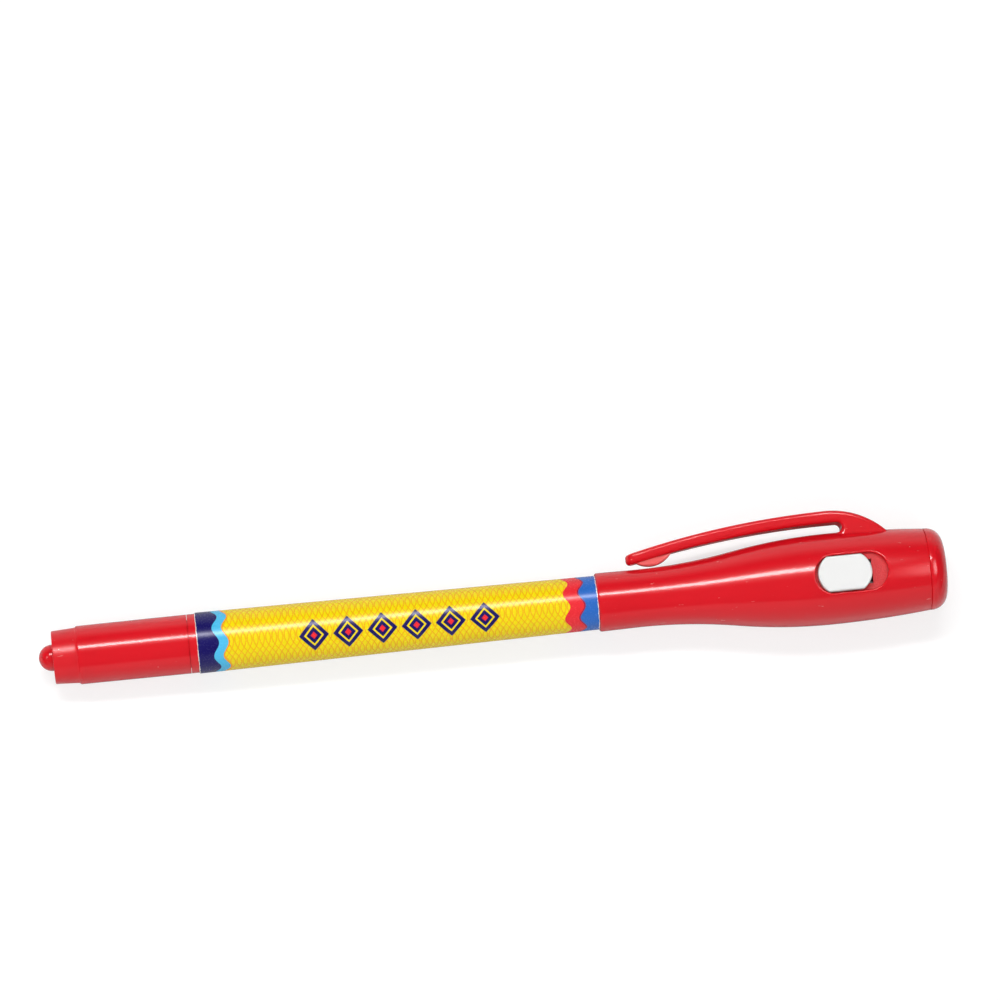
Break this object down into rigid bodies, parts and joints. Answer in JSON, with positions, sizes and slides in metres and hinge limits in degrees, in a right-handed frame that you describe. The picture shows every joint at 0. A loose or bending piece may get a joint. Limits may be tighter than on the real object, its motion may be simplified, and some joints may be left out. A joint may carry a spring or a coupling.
{
  "type": "uv invisible ink pen",
  "caption": "Slim felt-tip pen for invisible ink: vented pull-off cap, wrapped paper label, and a flared head with ultraviolet lamp, slide switch and pocket clip.",
  "frame": {"origin": "on the pen's axis, halfway along the label, where a hand or a pen loop holds it", "axes": "+X along the pen from the nib cap to the lamp, +Y towards the pocket clip, +Z towards the switch button"},
  "size_m": [0.133, 0.0165, 0.0135],
  "materials": {
    "red_plastic": "gloss moulded",
    "label_paper": "printed paper under clear film",
    "section_plastic": "moulded",
    "nib_fibre": "bonded fibre",
    "reservoir_fibre": "fibre bundle",
    "film_plastic": "thin clear film",
    "white_plastic": "satin moulded",
    "contact_brass": "stamped strip",
    "spring_steel": "plated wire",
    "holder_plastic": "moulded",
    "led_epoxy": "clear cast",
    "lead_steel": "tinned",
    "cell_steel": "nickel plated",
    "cell_seal": "moulded"
  },
  "bodies": {
    "pen": {"barrel": "red_plastic", "head_shell": "red_plastic", "end_bezel": "red_plastic", "barrel_label": "label_paper", "nib_section": "section_plastic", "nib": "nib_fibre", "ink_reservoir": "reservoir_fibre", "reservoir_film": "film_plastic", "positive_contact": "contact_brass", "return_strip": "contact_brass", "battery_spring": "spring_steel", "battery_holder": "holder_plastic", "led_lens": "led_epoxy", "led_anode_lead": "lead_steel", "led_cathode_lead": "lead_steel", "button_cell_1_can": "cell_steel", "button_cell_1_seal": "cell_seal", "button_cell_1_cap": "cell_steel", "button_cell_2_can": "cell_steel", "button_cell_2_seal": "cell_seal", "button_cell_2_cap": "cell_steel", "button_cell_3_can": "cell_steel", "button_cell_3_seal": "cell_seal", "button_cell_3_cap": "cell_steel"},
    "nib_cap": {"nib_cap": "red_plastic"},
    "switch": {"switch_slider": "white_plastic", "switch_contact": "contact_brass"}
  },
  "joints": [
    {"name": "nib_cap_pull", "type": "slide", "parent": "pen", "child": "nib_cap", "axis": [-1, 0, 0], "range_m": [0, 0.022]},
    {"name": "switch_slide", "type": "slide", "parent": "pen", "child": "switch", "axis": [1, 0, 0], "range_m": [0, 0.00195]}
  ]
}
